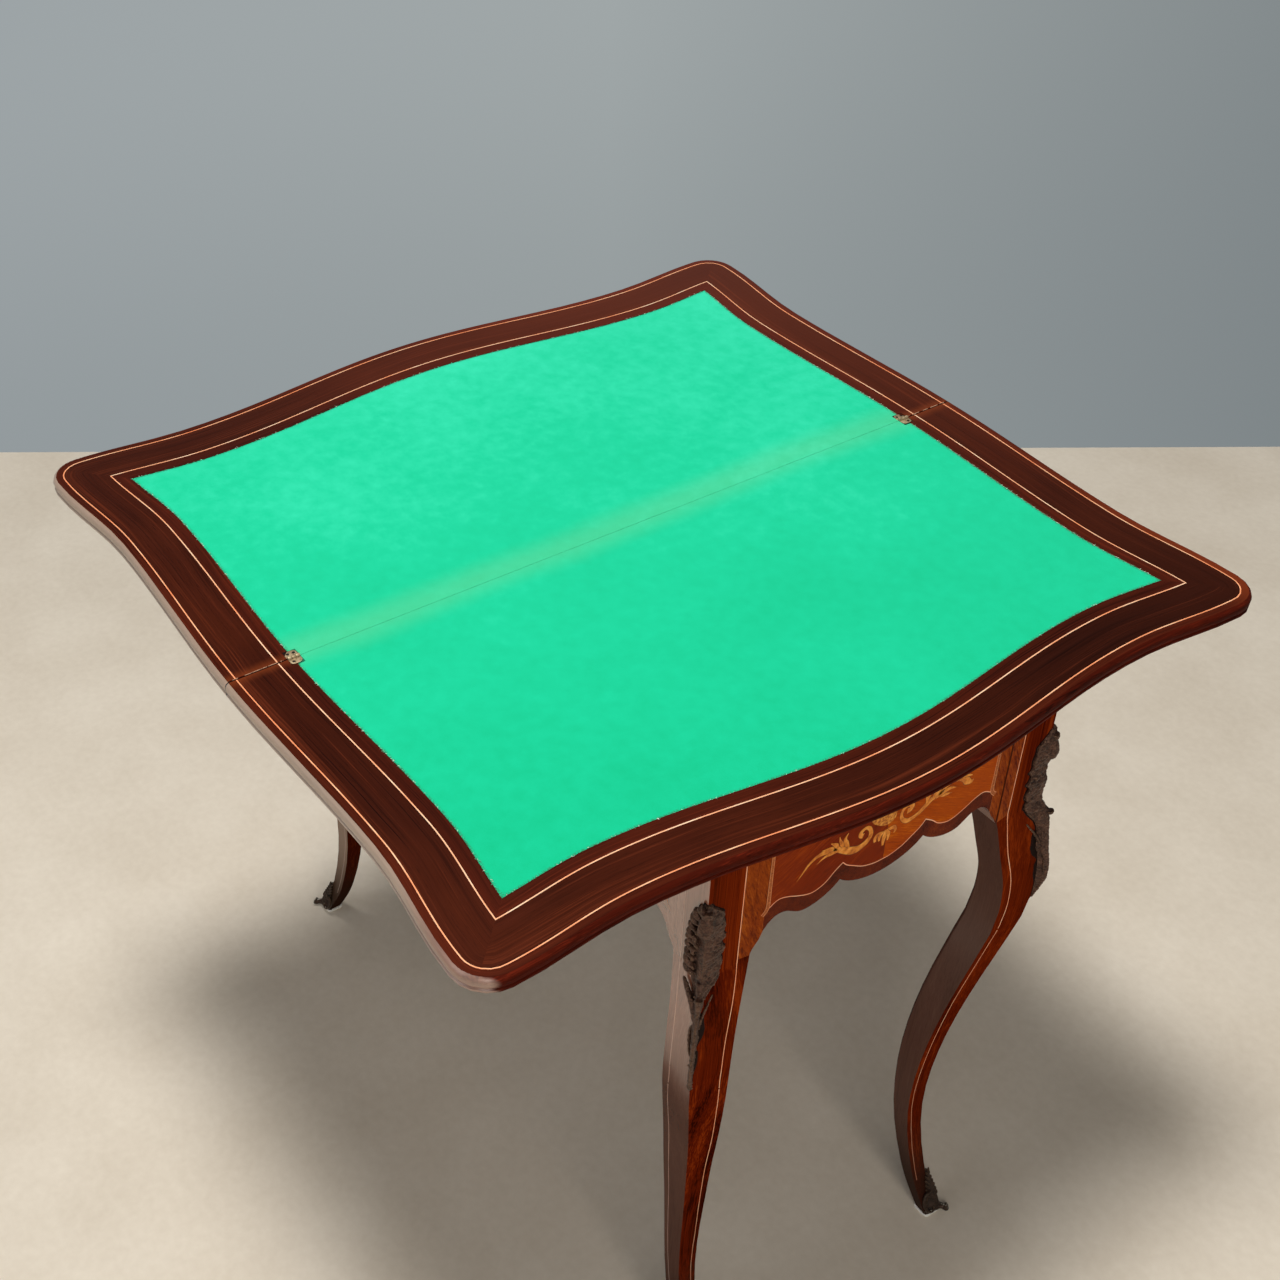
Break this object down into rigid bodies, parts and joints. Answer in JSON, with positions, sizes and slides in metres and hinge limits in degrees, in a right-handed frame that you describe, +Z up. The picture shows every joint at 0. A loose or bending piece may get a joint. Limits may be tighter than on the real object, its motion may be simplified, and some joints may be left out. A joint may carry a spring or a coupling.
{
  "type": "games table",
  "caption": "Square games table shown open: baize-lined leaves that fold on a seam and swivel on a scalloped frame with cabriole legs and bronze mounts.",
  "frame": {"origin": "on the floor under the centre of the frame, which is also the centre of the open top", "axes": "+Z up; +X across the seam, towards the leaf that turns on the frame; +Y along the seam, towards the side kept to the wall"},
  "size_m": [0.856, 0.86, 0.7771],
  "materials": {
    "rosewood": "polished dark red-brown rosewood",
    "marquetry": "polished tulipwood veneer with pale scrolls",
    "oak": "plain unpolished oak",
    "baize": "matt green wool baize",
    "bronze": "dark patinated cast bronze, worn bright on the high parts",
    "brass": "dull tarnished brass",
    "iron": "dark plain iron",
    "felt": "white felt"
  },
  "bodies": {
    "base": {"front_right_leg": "rosewood", "back_right_leg": "rosewood", "back_left_leg": "rosewood", "front_left_leg": "rosewood", "front_apron": "marquetry", "right_apron": "marquetry", "back_apron": "marquetry", "left_apron": "marquetry", "front_right_knee_mount": "bronze", "back_right_knee_mount": "bronze", "back_left_knee_mount": "bronze", "front_left_knee_mount": "bronze", "front_right_sabot": "bronze", "back_right_sabot": "bronze", "back_left_sabot": "bronze", "front_left_sabot": "bronze", "front_right_foot_pad": "felt", "back_right_foot_pad": "felt", "back_left_foot_pad": "felt", "front_left_foot_pad": "felt", "front_right_corner_block": "oak", "back_right_corner_block": "oak", "back_left_corner_block": "oak", "front_left_corner_block": "oak", "pivot_rail": "oak", "well_floor": "oak", "front_floor_runner": "oak", "back_floor_runner": "oak"},
    "swivel_top": {"lower_leaf": "rosewood", "lower_baize": "baize", "swivel_stop": "oak", "pivot_plate": "iron", "pivot_bolt": "iron", "pivot_washer": "iron", "pivot_nut": "iron", "front_hinge_lower_half": "brass", "back_hinge_lower_half": "brass", "front_hinge_pin": "brass", "back_hinge_pin": "brass"},
    "fold_top": {"upper_leaf": "rosewood", "upper_baize": "baize", "front_hinge_upper_half": "brass", "back_hinge_upper_half": "brass"}
  },
  "joints": [
    {"name": "top_swivel", "type": "hinge", "parent": "base", "child": "swivel_top", "pos_m": [0.1, 0.1, 0.7592], "axis": [0, 0, 1], "range_deg": [-90, 0]},
    {"name": "leaf_fold", "type": "hinge", "parent": "swivel_top", "child": "fold_top", "pos_m": [0, 0, 0.77525], "axis": [0, 1, 0], "range_deg": [0, 180]}
  ]
}
